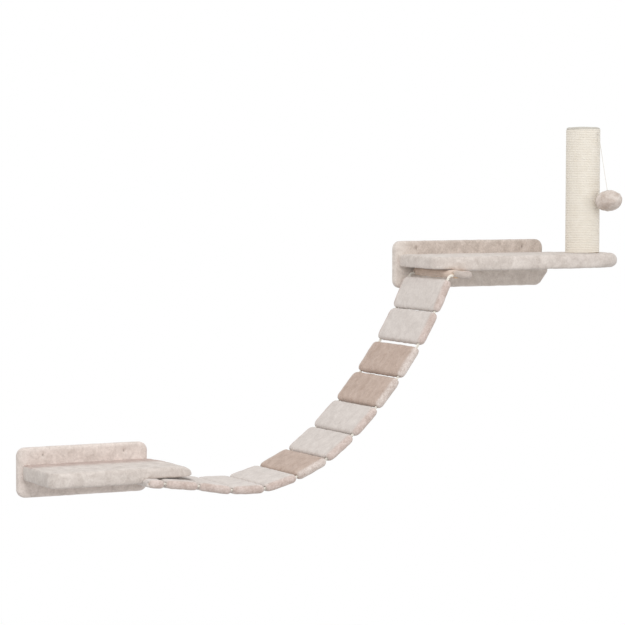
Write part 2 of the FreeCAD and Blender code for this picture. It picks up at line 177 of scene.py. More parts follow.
def plushLook(name, pale, deep, crushed=1.7, marked=None):
    # short crushed plush: soft patches where the pile lies another way, tufts and fine pile;
    # marked is the pale and deep colour of the places that the piece's own marks name: the tread ends' own colour,
    # painted shade on the lower shelf and on tread 13's ends, and the upper plate's darker band above its
    # painted-light lower part
    look = Look(name, Specular_IOR_Level=plushPile["specular"], Sheen_Weight=plushPile["sheen"],
                Sheen_Roughness=0.45)
    place = look.place()
    patch = look.cloud(place, plushPile["patch"], 4.0, 0.6, 0.6)
    tuft = look.cloud(place, plushPile["tuft"], 3.0, 0.6, 0.3)
    pile = look.cloud(place, plushPile["pile"], 2.0, 0.6)
    share = ((patch - 0.5) * crushed + (tuft - 0.5) * 1.0 + (pile - 0.5) * 0.4 + 0.5).clamp()
    body = look.blend(share, plain(*deep), plain(*pale))
    if marked:
        rough = ((patch - 0.5) * 2.0 + (tuft - 0.5) * 1.8 + 0.5).clamp()
        other = look.blend(rough, plain(*marked[1]), plain(*marked[0]))
        body = look.blend(look.attribute("bandAndShade") * (0.7 + tuft * 0.6), body, other)
    # painted shade: the screw slits and back holes are blended towards the dark slit colour
    body = look.blend(look.attribute("slit") * plushPile["slitShade"], body,
                      plain(*plushPile["slit"]))
    look.colour(body)
    look.rough(0.98 - share * 0.12)
    look.bump(patch * 0.8 + tuft * 1.2 + pile * 0.6, plushPile["bumpStrength"],
              plushPile["bumpHeight"])
    return look.material


cordFibres = {"fibre": 1400, "stain": 45, "bumpHeight": 0.0006, "bumpStrength": 0.5}


def cordLook(name, pale, deep, strands, lay):
    # a laid cord: strands that follow it by its own attributes, under fibres and stains
    look = Look(name, Specular_IOR_Level=0.15, Sheen_Weight=0.15, Sheen_Roughness=0.5)
    around = look.attribute("around")
    along = look.attribute("along")
    turns = around * (strands * 2 * math.pi) + along * (2 * math.pi / lay)
    strand = turns.sine() * 0.5 + 0.5
    place = look.place()
    fibre = look.cloud(place, cordFibres["fibre"], 3.0, 0.7)
    stain = look.cloud(place, cordFibres["stain"], 3.0, 0.6)
    share = (strand * 0.28 + (fibre - 0.5) * 0.6 + (stain - 0.5) * 0.7 + 0.36).clamp()
    look.colour(look.blend(share, plain(*deep), plain(*pale)))
    look.rough(0.92 - share * 0.1)
    look.bump(strand * 1.0 + fibre * 0.5, cordFibres["bumpStrength"], cordFibres["bumpHeight"])
    return look.material


ropeFibres = {"fibre": 1800, "stain": 60, "bumpHeight": 0.0005, "bumpStrength": 0.5}


def ropeLook(name, pale, deep):
    # the strands are modelled, so only fibres and dirt are left to the surface
    look = Look(name, Specular_IOR_Level=0.15, Sheen_Weight=0.15)
    place = look.place()
    fibre = look.cloud(place, ropeFibres["fibre"], 3.0, 0.7)
    stain = look.cloud(place, ropeFibres["stain"], 3.0, 0.6)
    share = ((fibre - 0.5) * 1.2 + (stain - 0.5) * 0.6 + 0.5).clamp()
    look.colour(look.blend(share, plain(*deep), plain(*pale)))
    look.rough(0.95 - share * 0.1)
    look.bump(fibre, ropeFibres["bumpStrength"], ropeFibres["bumpHeight"])
    return look.material


boardGrain = {"stretch": (6, 60, 60), "grain": 12, "layers": (0.5, 0.5, 360),
              "bumpHeight": 0.0004, "bumpStrength": 0.3}


def boardLook(name, pale, deep):
    # plywood: grain along the board and thin layers across its edges
    look = Look(name, Specular_IOR_Level=0.3)
    place = look.place()
    grain = look.cloud(look.stretched(place, boardGrain["stretch"]), boardGrain["grain"],
                       4.0, 0.6, 0.8)
    layer = look.cloud(look.stretched(place, boardGrain["layers"]), 1, 1.0, 0.4)
    share = ((grain - 0.5) * 1.4 + (layer - 0.5) * 1.2 + 0.5).clamp()
    look.colour(look.blend(share, plain(*deep), plain(*pale)))
    look.rough(0.55 + grain * 0.25)
    look.bump(grain, boardGrain["bumpStrength"], boardGrain["bumpHeight"])
    return look.material


steelBrush = {"stretch": (300, 300, 2500), "darker": 16, "bumpHeight": 0.0002,
              "bumpStrength": 0.2}


def steelLook(name, tint):
    # brushed steel with fine level marks
    look = Look(name, Metallic=1.0)
    brush = look.cloud(look.stretched(look.place(), steelBrush["stretch"]), 1, 2.0, 0.5)
    look.colour(look.blend(brush, plain(*(c - steelBrush["darker"] for c in tint)),
                           plain(*tint)))
    look.rough(0.25 + brush * 0.2)
    look.bump(brush, steelBrush["bumpStrength"], steelBrush["bumpHeight"])
    return look.material


# pale and deep colour of the marked places: tread ends in their own colour, painted shade along the lower shelf's
# back and on tread 13's ends, and the upper plate's band above its shelf, set darker than its painted-light lower
# part
# painted shade in the crease where the lower shelf's top meets its wall plate, with darker crushed pile there
shelfCreaseShade = ((200, 180, 171), (168, 146, 137))      # the lower shelf's top, towards the wall
# the upper plate's colours above its shelf, darker than the plate's paler colours below, which are painted light
topBand = ((215, 203, 194), (178, 165, 155))        # the upper plate above its shelf
lightEnds = ((219, 204, 197), (185, 166, 156))      # the two ends of a light tread
brownEnds = ((224, 213, 206), (190, 175, 166))      # and of a brown one
# the darker ends of tread 13 are painted shade under the upper shelf
tuckedEndsPaintedShade = ((199, 188, 180), (171, 159, 151))     # tread 13, tucked under the upper shelf

unitPlush = plushLook("unitPlush", (225, 216, 209), (191, 180, 172), 1.9, shelfCreaseShade)
lowerPlush = plushLook("lowerPlush", (238, 227, 220), (203, 191, 183), 2.1)
# the upper plate's paler colours below its shelf and at its left end are painted light, offsetting the shelf's
# shade
upperPlushPaintedLight = plushLook("upperPlushPaintedLight", (233, 224, 216), (202, 191, 182), 1.9, topBand)
lightPlush = plushLook("lightPlush", (226, 218, 212), (199, 190, 184), 1.5, lightEnds)
brownPlush = plushLook("brownPlush", (204, 184, 171), (172, 150, 136), marked=brownEnds)
# tread 13's brown is painted paler than the other brown treads, standing in for light under the upper shelf; its
# ends are painted shade
brownPlushPaintedLight = plushLook("brownPlushPaintedLight", (236, 216, 201), (207, 187, 171), marked=tuckedEndsPaintedShade)
ballPlush = plushLook("ballPlush", (222, 212, 204), (184, 168, 157), 2.3)
capPlush = plushLook("capPlush", (209, 204, 194), (186, 181, 171))
ladderRope = ropeLook("ladderRope", (250, 247, 240), (226, 220, 208))
toyString = ropeLook("toyString", (240, 236, 228), (206, 199, 186))
plywood = boardLook("plywood", (208, 176, 132), (166, 128, 86))
steel = steelLook("steel", (214, 214, 216))
print("materials ready")

cadLooks = {"board": plywood, "core": plywood, "discs": plywood, "screws": steel, "bolt": steel,
            "staple": steel}
for node, solid in frame["nodes"].items():
    look = cadLooks.get(node.rsplit("_", 1)[-1])
    if look:
        solid.data.materials.clear()
        solid.data.materials.append(look)


# Mesh helpers

quarterTurn = Matrix.Rotation(math.pi / 2, 3, "X")    # stands a flat shape up, facing the viewer


def easing(value, low, high):
    # 0 at low, 1 at high, smooth between and level outside
    share = min(max((value - low) / (high - low), 0), 1)
    return share * share * (3 - 2 * share)


def inScene(name, data):
    thing = bpy.data.objects.new(name, data)
    scene.collection.objects.link(thing)
    return thing


def meshFrom(bm, name):
    data = bpy.data.meshes.new(name)
    bm.to_mesh(data)
    bm.free()
    return data


def newPiece(name, data, look, body, nodes=()):
    # a finished mesh becomes a piece that rides on its body
    data.name = name
    data.materials.clear()
    data.materials.append(look)
    data.shade_smooth()
    piece = inScene(name, data)
    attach(piece, body)
    if nodes:
        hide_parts(*nodes)
    return piece


def plushPiece(name, bm, look, body, node):
    # a padded cover in the place of its node, smoothed once
    piece = newPiece(name, meshFrom(bm, name), look, body, [node])
    smooth = piece.modifiers.new("smooth", "SUBSURF")
    smooth.levels = 1
    smooth.render_levels = 1


def outlinePrism(corners, thick, steps):
    # a flat outline of (x, y, radius) corners with turned corners, raised by its thickness
    bm = bmesh.new()
    verts = [bm.verts.new((x, y, 0)) for x, y, radius in corners]
    bm.faces.new(verts)
    for vert, (x, y, radius) in zip(verts, corners):
        if radius > 0:
            legs = [edge.other_vert(vert).co - vert.co for edge in vert.link_edges]
            half = legs[0].angle(legs[1]) / 2
            bmesh.ops.bevel(bm, geom=[vert], affect="VERTICES", offset=radius / math.tan(half),
                            segments=steps, profile=0.5, material=-1)
    lifted = bmesh.ops.extrude_face_region(bm, geom=bm.faces[:])
    top = [item for item in lifted["geom"] if isinstance(item, bmesh.types.BMVert)]
    bmesh.ops.translate(bm, verts=top, vec=(0, 0, thick))
    bmesh.ops.recalc_face_normals(bm, faces=bm.faces[:])
    return bm


def roundRims(bm, radius, level, steps, keep=None):
    # rounds the rim edges that lie at a level, apart from those that keep() names
    rims = [edge for edge in bm.edges
            if all(abs(vert.co.z - level) < 1e-6 for vert in edge.verts)
            and not (keep and keep(edge))]
    bmesh.ops.bevel(bm, geom=rims, affect="EDGES", offset=radius, segments=steps, profile=0.5,
                    material=-1, clamp_overlap=True)


def remeshed(bm, voxel, smoothing=3):
    # even quads all over, as the plush needs for its lumps
    bmesh.ops.recalc_face_normals(bm, faces=bm.faces[:])
    data = meshFrom(bm, "block")
    block = inScene("block", data)
    remesh = block.modifiers.new("even", "REMESH")
    remesh.mode = "VOXEL"
    remesh.voxel_size = voxel
    shaped = block.evaluated_get(bpy.context.evaluated_depsgraph_get())
    even = bmesh.new()
    even.from_mesh(shaped.to_mesh())
    shaped.to_mesh_clear()
    bpy.data.objects.remove(block)
    bpy.data.meshes.remove(data)
    for step in range(smoothing):
        bmesh.ops.smooth_vert(even, verts=even.verts[:], factor=0.5, use_axis_x=True,
                              use_axis_y=True, use_axis_z=True)
    return even


def lumps(bm, height, size, seed, still=None):
    # pushes the plush in and out along its normals, less where still() is under 1
    bm.normal_update()
    moves = []
    for vert in bm.verts:
        spot = vert.co / size + Vector((seed * 3.1, seed * 1.7, seed * 2.3))
        wave = noise.noise(spot) + 0.5 * noise.noise(spot * 2.3)
        share = still(vert.co) if still else 1
        moves.append(vert.normal * (height * wave * share))
    for vert, move in zip(bm.verts, moves):
        vert.co += move


def addSpline(curve, points):
    # a smooth line that starts and ends at the outer points
    spline = curve.splines.new("NURBS")
    spline.points.add(len(points) - 1)
    for knot, point in zip(spline.points, points):
        knot.co = (*point, 1)
    spline.order_u = 3
    spline.use_endpoint_u = True


def newCurve(name, steps, radius=0.0, roundness=0):
    curve = bpy.data.curves.new(name, "CURVE")
    curve.dimensions = "3D"
    curve.resolution_u = steps
    curve.bevel_depth = radius
    curve.bevel_resolution = roundness
    return curve


def curveMesh(curve):
    # the mesh of a curve that isn't needed afterwards
    holder = bpy.data.objects.new(curve.name, curve)
    data = bpy.data.meshes.new_from_object(holder)
    bpy.data.objects.remove(holder)
    bpy.data.curves.remove(curve)
    return data


# Wall plates

# the fades, bandRise, dimple and backHole start at their first measure and end at the second
plate = {"corner": 0.027, "cornerSteps": 8, "frontEdge": 0.009, "frontSteps": 5,
         "backEdge": 0.003, "backSteps": 2, "voxel": 0.0035, "fill": 0.8,
         "lump": 0.0009, "lumpSize": 0.03, "lumpFade": (0.004, 0.012),
         "flare": 0.024, "shoulderDrop": 0.003, "shoulderHigh": 0.018, "footStep": 0.012,
         "shoulderCorners": (0.004, 0.009), "bandRise": (0.03, 0.045), "bandFade": (0.01, 0.1),
         "holeInset": 0.085, "holeDrop": 0.026, "frontZone": 0.012, "dimple": (0.002, 0.017),
         "dimpleDepth": 0.0028, "deepest": 0.0052, "slit": (0.0032, 0.0075), "slitFade": (0.2, 1),
         "slitDepth": 0.003, "backZone": 0.002, "backHole": (0.001, 0.0055), "backDent": 0.0022}


def makePlate(name, look, seed, shelfBottom=None):
    # a plate that is given its shelf's bottom steps out to the right below it
    low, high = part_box(name + "_plate_cover")
    flare = 0 if shelfBottom is None else plate["flare"]
    right = high.x - flare
    thick, corner = high.y - low.y, plate["corner"]
    corners = [(low.x, low.z, corner), (low.x, high.z, corner), (right, high.z, corner)]
    if flare:
        shoulder = shelfBottom - plate["shoulderDrop"]
        inner, outer = plate["shoulderCorners"]
        corners += [(right, shoulder, inner), (high.x, shoulder, outer),
                    (high.x, shoulder - plate["shoulderHigh"], outer),
                    (right - plate["footStep"], low.z, corner)]
    else:
        corners += [(right, low.z, corner)]
    bm = outlinePrism(corners, thick, plate["cornerSteps"])
    roundRims(bm, plate["frontEdge"], thick, plate["frontSteps"])
    roundRims(bm, plate["backEdge"], 0, plate["backSteps"])
    bmesh.ops.rotate(bm, verts=bm.verts[:], cent=(0, 0, 0), matrix=quarterTurn)
    bmesh.ops.translate(bm, verts=bm.verts[:], vec=(0, high.y, 0))
    bm = remeshed(bm, plate["voxel"])
    lumps(bm, plate["lump"], plate["lumpSize"], seed,
          lambda place: easing(-place.y, *plate["lumpFade"]))
    holes = [Vector((x, 0, high.z - plate["holeDrop"]))
             for x in (low.x + plate["holeInset"], right - plate["holeInset"])]
    slitShadeMark = bm.verts.layers.float.new("slit")
    bandAndShade = bm.verts.layers.float.new("bandAndShade")
    # the band above the upper shelf takes the darker marked colours; below it and at the left end the paler
    # colours are painted light
    if flare:
        rise = [shelfBottom + height for height in plate["bandRise"]]
        fade = [low.x + reach for reach in plate["bandFade"]]
        for vert in bm.verts:
            vert[bandAndShade] = easing(vert.co.z, *rise) * easing(vert.co.x, *fade)
    for vert in bm.verts:
        for hole in holes:
            across, up = vert.co.x - hole.x, vert.co.z - hole.z
            slit = 0
            if vert.co.y < low.y + plate["frontZone"]:    # a dimple with a slit for the screw
                dent = 1 - easing(math.hypot(across, up), *plate["dimple"])
                slit = 1 - easing(math.hypot(across / plate["slit"][0], up / plate["slit"][1]),
                                  *plate["slitFade"])
                if dent > 0:
                    deep = vert.co.y + plate["dimpleDepth"] * dent + plate["slitDepth"] * slit
                    vert.co.y = min(deep, low.y + plate["deepest"])
            elif vert.co.y > high.y - plate["backZone"]:
                slit = 1 - easing(math.hypot(across, up), *plate["backHole"])
                vert.co.y -= plate["backDent"] * slit
            # the slit's share also marks painted shade in the slit and in the back hole
            vert[slitShadeMark] = max(vert[slitShadeMark], slit)
    plushPiece(name + "PlateCover", bm, look, "wall_units", name + "_plate_cover")


makePlate("low", lowerPlush, 2)
makePlate("up", upperPlushPaintedLight, 1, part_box("up_shelf_cover")[0].z)
print("wall plates ready")


# Shelves

# nose is the length of the tapering right end, waist the depth of its tip under the top, proud
# its reach past the solid, and round and tall the rounded rim's width and half height. lift
# draws one end's underside up, from liftFrom to liftFull, measured from the shelf's left end,
# and leaves the uppermost liftTop as it is.
shelf = {"edge": 0.021, "edgeSteps": 6, "leftCorner": 0.036, "cornerSteps": 12,
         "voxel": 0.005, "lump": 0.0012, "lumpSize": 0.035, "fill": 0.85,
         "buried": 0.006, "plateGap": (0.006, 0.002), "plateCorner": 0.003,
         "round": 0.026, "frontRound": 0.4, "frontFade": 0.008, "roundFade": (0.01, 0.05),
         "lumpFade": 0.004, "markDepth": (-0.14, -0.07), "markSlope": (0.3, 0.8)}
shelfShapes = {
    "low": {"seed": 3, "bandAndShade": 1, "corner": 0.07, "nose": 0.09, "noseThin": 0.45,
            "waist": 0.035, "proud": 0.006, "tall": 0.035,
            "lift": 0.0145, "liftFrom": 0.3105, "liftFull": 0.3225, "liftTop": 0.012},
    "up": {"seed": 4, "bandAndShade": 0, "corner": 0.112, "nose": 0.055, "noseThin": 0.05,
           "waist": 0.025, "proud": 0.0055, "tall": 0.026,
           "lift": 0.0065, "liftFrom": 0.088, "liftFull": 0.058, "liftTop": 0.03}}


def rounded(place, edge, middle, tipX, half, corner, waist, tall):
    # turns a square rim into a round one: how far a place lies inside the outline, and its height
    # over the waist, are taken from a square onto a disc
    side = 1 if place.y > middle else -1
    inX, inY = place.x - (tipX - corner), abs(place.y - middle) - (half - corner)
    if inX > 0 and inY > 0:
        out = Vector((inX, inY * side, 0)).normalized()
        depth = corner - math.hypot(inX, inY)
    elif half - abs(place.y - middle) < tipX - place.x:
        out, depth = Vector((0, side, 0)), half - abs(place.y - middle)
    else:
        out, depth = Vector((1, 0, 0)), tipX - place.x
    near = min(max(1 - depth / edge, 0), 1)
    height = min(max((place.z - waist) / tall, -1), 1)
    pulled = near * (1 - math.sqrt(1 - height * height / 2)) * edge
    return out * -pulled + Vector((0, 0, tall * height * (math.sqrt(1 - near * near / 2) - 1)))


def makeShelf(name):
    shape = shelfShapes[name]
    low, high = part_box(name + "_shelf_cover")
    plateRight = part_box(name + "_plate_cover")[1].x - (plate["flare"] if name == "up" else 0)
    tipX = high.x + shape["proud"]
    thick = high.z - low.z
    back, buried = high.y, high.y + shelf["buried"]
    corners = [(low.x, buried, 0), (plateRight - shelf["plateGap"][0], buried, 0),
               (plateRight - shelf["plateGap"][1], back, shelf["plateCorner"]),
               (tipX, back, shape["corner"]), (tipX, low.y, shape["corner"]),
               (low.x, low.y, shelf["leftCorner"])]
    bm = outlinePrism(corners, thick, shelf["cornerSteps"])

    def atPlate(edge):
        return all(vert.co.y > back - 0.0001 for vert in edge.verts)

    for level in (thick, 0):
        roundRims(bm, shelf["edge"], level, shelf["edgeSteps"], atPlate)
    bmesh.ops.translate(bm, verts=bm.verts[:], vec=(0, 0, low.z))
    bm = remeshed(bm, shelf["voxel"])
    waist = high.z - shape["waist"]
    middle, half = (low.y + back) / 2, (back - low.y) / 2
    for vert in bm.verts:
        share = easing(vert.co.x - low.x, shape["liftFrom"], shape["liftFull"])
        below = (high.z - shape["liftTop"] - vert.co.z) / (thick - shape["liftTop"])
        vert.co.z += shape["lift"] * share * min(max(below, 0), 1)
        tip = min(max(1 - (tipX - vert.co.x) / shape["nose"], 0), 1)
        vert.co.z += (waist - vert.co.z) * shape["noseThin"] * tip * tip
        share = easing(vert.co.x, plateRight + shelf["roundFade"][0], tipX - shelf["roundFade"][1])
        if vert.co.y < middle and vert.co.z > waist:
            upper = easing(vert.co.z, waist, waist + shelf["frontFade"])
            share = max(share, shelf["frontRound"] * upper)
        vert.co += share * rounded(vert.co, shelf["round"], middle, tipX, half, shape["corner"],
                                   waist, shape["tall"])
    lumps(bm, shelf["lump"], shelf["lumpSize"], shape["seed"],
          lambda place: 1 - easing(place.y, back - shelf["lumpFade"], back))
    bm.normal_update()
    # on the lower shelf the mark is painted shade on the top towards the wall, in the crease at the plate
    bandAndShade = bm.verts.layers.float.new("bandAndShade")
    for vert in bm.verts:
        vert[bandAndShade] = shape["bandAndShade"] * easing(vert.co.y, *shelf["markDepth"]) \
            * easing(vert.normal.z, *shelf["markSlope"])
    plushPiece(name + "ShelfCover", bm, unitPlush, "wall_units",
               name + "_shelf_cover")


for name in shelfShapes:
    makeShelf(name)
print("shelves ready")


# Ladder treads, numbered from the lower shelf; 1 and 13 lie flat under the shelves

tread = {"length": 0.114, "width": 0.3, "thick": 0.027, "corner": 0.02, "cornerSteps": 6,
         "edge": 0.012, "edgeSteps": 4, "proud": 0.0015,
         "voxel": 0.004, "lump": 0.0011, "lumpSize": 0.022, "fill": 0.8,
         "crown": 0.0015, "crownFade": 0.01, "endBand": (0.024, 0.003), "ropeInset": 0.018,
         "mouth": (0.003, 0.0075), "mouthDepth": 0.008, "mouthZone": 0.012,
         "firstTilt": 0.004, "lastLift": 0.005, "lastFall": 0.7, "lastFallFrom": 0.6}
treadLengths = {number: tread["length"] for number in range(1, 14)}
treadLengths.update({1: 0.057, 13: 0.078})
endTreads = (1, 13)
brownTreads = (6, 9, 10, 13)
coverGaps = (0.002, 0.002, 0.002, 0.002, 0.002, 0.0025, 0.0035, 0.004, 0.006, 0.011, 0.0015)
coverShares = {9: 0.95, 10: 0.65}    # of a gap's closing, what the lower tread takes
openBend = Vector((0.7449, -0.18, -0.0315))    # the bend between treads 6 and 7, left free
bend = [jointPlace.get("sway_%02d" % number, openBend) for number in range(2, 13)]
lastClimb = math.radians(65)    # the slope of tread 12, up to the upper shelf


def treadSlope(number):
    if number in endTreads:
        return 0.0
    if number == 12:
        return lastClimb
    way = bend[number - 1] - bend[number - 2]
    return math.atan2(way.z, way.x)


def coverEnds(number):
    # how far a cover reaches past its solid at its low and its high end
    reach = []
    for end, gap in enumerate((number - 2, number - 1)):
        if 0 <= gap < len(coverGaps):
            pair = (gap + 1, gap + 2)
            boxes = [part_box("tread_%02d_cover" % side) for side in pair]
            middles = [(low + high) / 2 for low, high in boxes]
            free = (middles[0] - bend[gap]).length + (middles[1] - bend[gap]).length \
                - sum(treadLengths[side] for side in pair) / 2
            share = coverShares.get(gap, 0.5)
            reach.append(max(free - coverGaps[gap], 0) * (share if end else 1 - share))
        else:
            reach.append(0.0)
    return reach


def makeTread(number):
    node = "tread_%02d_cover" % number
    low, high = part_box(node)
    thick = tread["thick"]
    halfLong, halfWide = treadLengths[number] / 2, tread["width"] / 2 + tread["proud"]
    lowReach, highReach = coverEnds(number)
    left, right = -halfLong - lowReach, halfLong + highReach
    corners = [(x, y, tread["corner"]) for x, y in
               ((left, -halfWide), (right, -halfWide), (right, halfWide), (left, halfWide))]
    bm = outlinePrism(corners, thick, tread["cornerSteps"])
    for level in (thick, 0):
        roundRims(bm, tread["edge"], level, tread["edgeSteps"])
    bmesh.ops.translate(bm, verts=bm.verts[:], vec=(0, 0, -thick / 2))
    bm = remeshed(bm, tread["voxel"])
    rope = tread["width"] / 2 - tread["ropeInset"]
    band = [halfWide - inset for inset in tread["endBand"]]
    bandAndShade = bm.verts.layers.float.new("bandAndShade")
    # the ends' band keeps their own colour, but on tread 13 its colours are painted shade
    for vert in bm.verts:
        vert[bandAndShade] = easing(abs(vert.co.y), *band)
        if number not in endTreads:
            crown = (1 - (vert.co.x / halfLong) ** 2) * (1 - (vert.co.y / halfWide) ** 4)
            vert.co.z += tread["crown"] * max(crown, 0) * (1 if vert.co.z > 0 else -1) \
                * min(abs(vert.co.z) / tread["crownFade"], 1)
        if not left + tread["mouthZone"] < vert.co.x < right - tread["mouthZone"]:
            for side in (-1, 1):    # where the ropes go in
                away = Vector((vert.co.y - side * rope, vert.co.z)).length
                dent = 1 - easing(away, *tread["mouth"])
                vert.co.x -= math.copysign(tread["mouthDepth"] * dent, vert.co.x)
        if number == 1:
            vert.co.z += tread["firstTilt"] * (0.5 - vert.co.x / (2 * halfLong))
        if number == 13:
            fall = tread["lastFall"] * easing(vert.co.x, -halfLong * tread["lastFallFrom"], 0)
            vert.co.z += tread["lastLift"] * (1 - fall)
    lumps(bm, tread["lump"], tread["lumpSize"], number)
    place = Matrix.Translation((low + high) / 2) @ Matrix.Rotation(-treadSlope(number), 4, "Y")
    bmesh.ops.transform(bm, matrix=place, verts=bm.verts[:])
    brown = number in brownTreads
    # tread 13 takes the brown that is painted paler for light under the upper shelf
    plush = brownPlushPaintedLight if number == 13 else brownPlush if brown else lightPlush
    plushPiece("treadCover%02d" % number, bm, plush,
               bodyOf[node], node)


for number in treadLengths:
    makeTread(number)
print("treads ready")


# Ladder ropes, one pair of lengths for each tread

# beforeCorner to hidden set out the top two lengths, where the climb turns into tread 13
ropes = {"strands": 3, "strand": 0.0022, "strandOffset": 0.00254, "lay": 0.03, "step": 0.002,
         "tail": 0.038, "beforeCorner": 0.022, "afterCorner": 0.012, "inMouth": 0.010,
         "hidden": (0.0135, 0.03, 0.055)}


def routeLine(points):
    # even points along the smooth line of a rope's route, and the line's length
    curve = newCurve("route", steps=24)
    addSpline(curve, points)
    data = curveMesh(curve)
    line = [vert.co.copy() for vert in data.vertices]
    bpy.data.meshes.remove(data)
    spacing = ropes["step"]
    even = [line[0]]
    travelled = 0.0
    goal = spacing
    for here, after in zip(line, line[1:]):
        leg = (after - here).length
        while leg > 0 and travelled + leg >= goal:
            even.append(here.lerp(after, (goal - travelled) / leg))
            goal += spacing
        travelled += leg
    if (even[-1] - line[-1]).length > spacing / 4:
        even.append(line[-1])
    return even, travelled


def addStrands(curve, line, start, side):
    # strands laid round a line in an XZ plane; start keeps the lay running from length to
    # length, and side mirrors it
    travelled = start
    places = []
    across = Vector((0, 1, 0))
    for index, point in enumerate(line):
        if index:
            travelled += (point - line[index - 1]).length
        before = line[max(index - 1, 0)]
        after = line[min(index + 1, len(line) - 1)]
        upward = across.cross((after - before).normalized())
        places.append((point, upward, travelled))
    for strand in range(ropes["strands"]):
        spots = []
        for point, upward, travelled in places:
            angle = 2 * math.pi * (strand / ropes["strands"] + side * travelled / ropes["lay"])
            spots.append(point + (across * math.cos(angle) + upward * math.sin(angle))
                         * ropes["strandOffset"])
        addSpline(curve, spots)


def makeRopes(number, points, start):
    # both ropes of one tread, at the two sides of the ladder
    curve = newCurve("strands", steps=1, radius=ropes["strand"], roundness=2)
    curve.use_fill_caps = True
    for side in (-1, 1):
        shift = Vector((0, side * (tread["width"] / 2 - tread["ropeInset"]), 0))
        line, reach = routeLine([point + shift for point in points])
        addStrands(curve, line, start, side)
    node = "rope_%02d" % number
    newPiece("ladderRope%02d" % number, curveMesh(curve), ladderRope, bodyOf[node],
             [node])
    return start + reach


def rightBy(distance):
    return Vector((distance, 0, 0))


stops = [bend[0] - rightBy(ropes["tail"])] + bend
routes = [[here, (here + after) / 2, after] for here, after in zip(stops, stops[1:])]
topLow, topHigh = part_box("tread_13_cover")
topLine = (topLow.z + topHigh.z) / 2
climb = Vector((math.cos(lastClimb), 0, math.sin(lastClimb)))
corner = bend[-1] + climb * ((topLine - bend[-1].z) / climb.z)
mouth = Vector((topLow.x, corner.y, topLine))
routes.append([bend[-1], corner - climb * ropes["beforeCorner"], corner,
               corner + rightBy(ropes["afterCorner"]), mouth + rightBy(ropes["inMouth"])])
routes.append([mouth + rightBy(distance) for distance in ropes["hidden"]])
travelled = 0.0
for number, points in enumerate(routes, 1):
    travelled = makeRopes(number, points, travelled)
print("ladder ropes ready")


# Post

sisalLow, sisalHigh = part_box("post_sisal")
postMiddle = (sisalLow + sisalHigh) / 2
post = {"radius": (sisalHigh.x - sisalLow.x) / 2, "cord": 0.003, "plump": 1.04, "flat": 1.16,
        "turns": 73, "steps": 64, "sides": 10, "lays": 33, "sunk": 0.5, "weld": 0.00005}
sisalLay = 2 * math.pi * (post["radius"] - post["cord"]) / post["lays"]
sisal = cordLook("sisal", (242, 237, 228), (223, 214, 199), strands=3, lay=sisalLay)


def makeWinding():
    # one cord wound from the shelf to the cap: one turn, then as many as the post has
    radius, thick = post["radius"] - post["cord"], post["cord"] * post["plump"]
    rise = (sisalHigh.z - sisalLow.z - 2 * post["cord"]) / (post["turns"] - 1)
    bm = bmesh.new()
    around = bm.verts.layers.float.new("around")
    along = bm.verts.layers.float.new("along")
    ring = bmesh.ops.create_circle(bm, segments=post["sides"], radius=thick)["verts"]
    bmesh.ops.rotate(bm, verts=ring, cent=(0, 0, 0), matrix=quarterTurn)
    for vert in ring:
        vert[around] = (math.atan2(vert.co.z, -vert.co.x) / (2 * math.pi)) % 1.0
    bmesh.ops.scale(bm, verts=ring, vec=(1, 1, post["flat"]))
    bmesh.ops.translate(bm, verts=ring, vec=(radius, 0, 0))
    bmesh.ops.spin(bm, geom=ring + bm.edges[:], cent=(0, 0, 0), axis=(0, 0, 1),
                   dvec=(0, 0, rise / post["steps"]), angle=2 * math.pi, steps=post["steps"],
                   use_merge=False, use_duplicate=False)
    bmesh.ops.recalc_face_normals(bm, faces=bm.faces[:])
    for vert in bm.verts:
        lift = vert.co.z - thick * post["flat"] * math.sin(2 * math.pi * vert[around])
        vert[along] = lift / rise * 2 * math.pi * radius
    bottom = sisalLow.z + post["cord"] - rise * post["sunk"]
    bmesh.ops.translate(bm, verts=bm.verts[:], vec=(postMiddle.x, postMiddle.y, bottom))
    piece = newPiece("sisalWinding", meshFrom(bm, "winding"), sisal, "wall_units",
                     ["post_sisal"])
    turns = piece.modifiers.new("turns", "ARRAY")
    turns.count = post["turns"]
    turns.use_relative_offset = False
    turns.use_constant_offset = True
    turns.constant_offset_displace = (0, 0, rise)
    turns.use_merge_vertices = True
    turns.merge_threshold = post["weld"]


makeWinding()

cap = {"sides": 64, "edge": 0.006, "edgeSteps": 5, "dome": 0.003, "proud": 0.001,
       "voxel": 0.004, "lump": 0.0012, "lumpSize": 0.02, "seed": 21, "fill": 0.7}


def makeCap():
    low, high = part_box("post_cap")
    radius = (high.x - low.x) / 2 + cap["proud"]
    bm = bmesh.new()
    bmesh.ops.create_cone(bm, cap_ends=True, segments=cap["sides"], radius1=radius,
                          radius2=radius, depth=high.z - low.z)
    roundRims(bm, cap["edge"], (high.z - low.z) / 2, cap["edgeSteps"])
    bm = remeshed(bm, cap["voxel"])
    for vert in bm.verts:
        if vert.co.z > 0:
            vert.co.z += cap["dome"] * (1 - (vert.co.xy.length / radius) ** 2)
    lumps(bm, cap["lump"], cap["lumpSize"], cap["seed"])
    bmesh.ops.translate(bm, verts=bm.verts[:], vec=(low + high) / 2)
    plushPiece("postCap", bm, capPlush, "wall_units", "post_cap")


makeCap()
print("post ready")


# Toy

toy = {"radius": 0.0475, "high": 0.0365, "voxel": 0.0035, "fill": 0.7,
       "lump": 0.0022, "lumpSize": 0.016, "fineLump": 0.5, "fineSize": 0.4, "seeds": (31, 32),
       "string": 0.001, "stringSides": 10, "stringDrop": 0.0043, "stringInBall": 0.004,
       "loop": 0.003, "loopSteps": 24, "loopDrop": 0.0011}
swing = jointPlace["toy_swing"]
ballMiddle = jointPlace["toy_spin"]
stringWay = (ballMiddle - swing).normalized()


